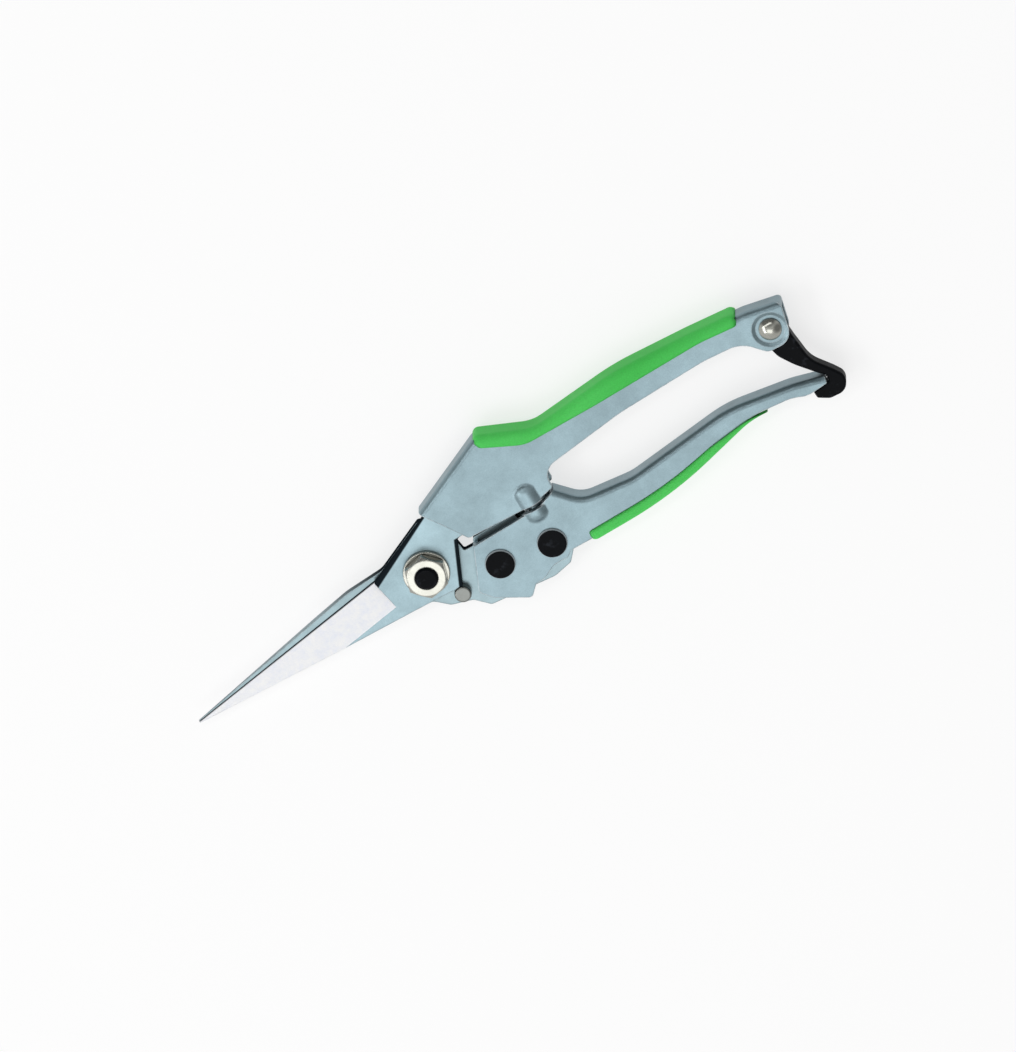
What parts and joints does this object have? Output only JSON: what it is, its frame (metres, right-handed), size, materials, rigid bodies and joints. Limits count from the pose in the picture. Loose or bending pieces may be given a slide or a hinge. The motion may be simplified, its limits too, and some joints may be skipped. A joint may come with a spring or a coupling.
{
  "type": "floral snips",
  "caption": "Hand snips with short bypass blades on a bolted pivot, channel handles with moulded grips, an opening spring and a swinging tail catch.",
  "frame": {"origin": "on the pivot axis at the underside of the bolt head, the plane the snips lie on", "axes": "+X from the blade tips to the tail of the handles, +Y towards the upper handle, +Z through the thickness towards the nut"},
  "size_m": [0.1894, 0.045, 0.0128],
  "materials": {
    "handle_plate": "plated, satin, pale blue-grey",
    "blade_steel": "ground, satin",
    "nickel_steel": "nickel plated, bright",
    "black_steel": "blackened, slight sheen",
    "spring_steel": "bright wire",
    "green_grip": "moulded soft plastic, slight sheen"
  },
  "bodies": {
    "upper_half": {"upper_handle": "handle_plate", "upper_grip": "green_grip", "front_blade": "blade_steel", "pivot_bolt": "black_steel", "pivot_nut": "nickel_steel", "nut_washer": "nickel_steel", "head_washer": "nickel_steel", "tang_pins": "handle_plate", "tang_spacers": "handle_plate", "upper_spring_seat": "handle_plate", "handle_spring": "spring_steel", "catch_bush": "handle_plate", "catch_rivet": "nickel_steel"},
    "lower_half": {"lower_handle": "handle_plate", "rear_blade": "blade_steel", "lower_grip": "green_grip", "lower_rivets": "black_steel", "rivet_spacers": "handle_plate", "stop_pin": "nickel_steel", "lower_spring_seat": "handle_plate"},
    "catch_lever": {"catch": "black_steel"}
  },
  "joints": [
    {"name": "handles_open", "type": "hinge", "parent": "upper_half", "child": "lower_half", "pos_m": [0, 0, 0.00577], "axis": [0, 0, -1], "range_deg": [0, 20], "deforming": ["handle_spring", "catch"]},
    {"name": "catch_swing", "type": "hinge", "parent": "upper_half", "child": "catch_lever", "pos_m": [0.1088, 0.0144, 0.00577], "axis": [0, 0, 1], "range_deg": [0, 75]}
  ]
}
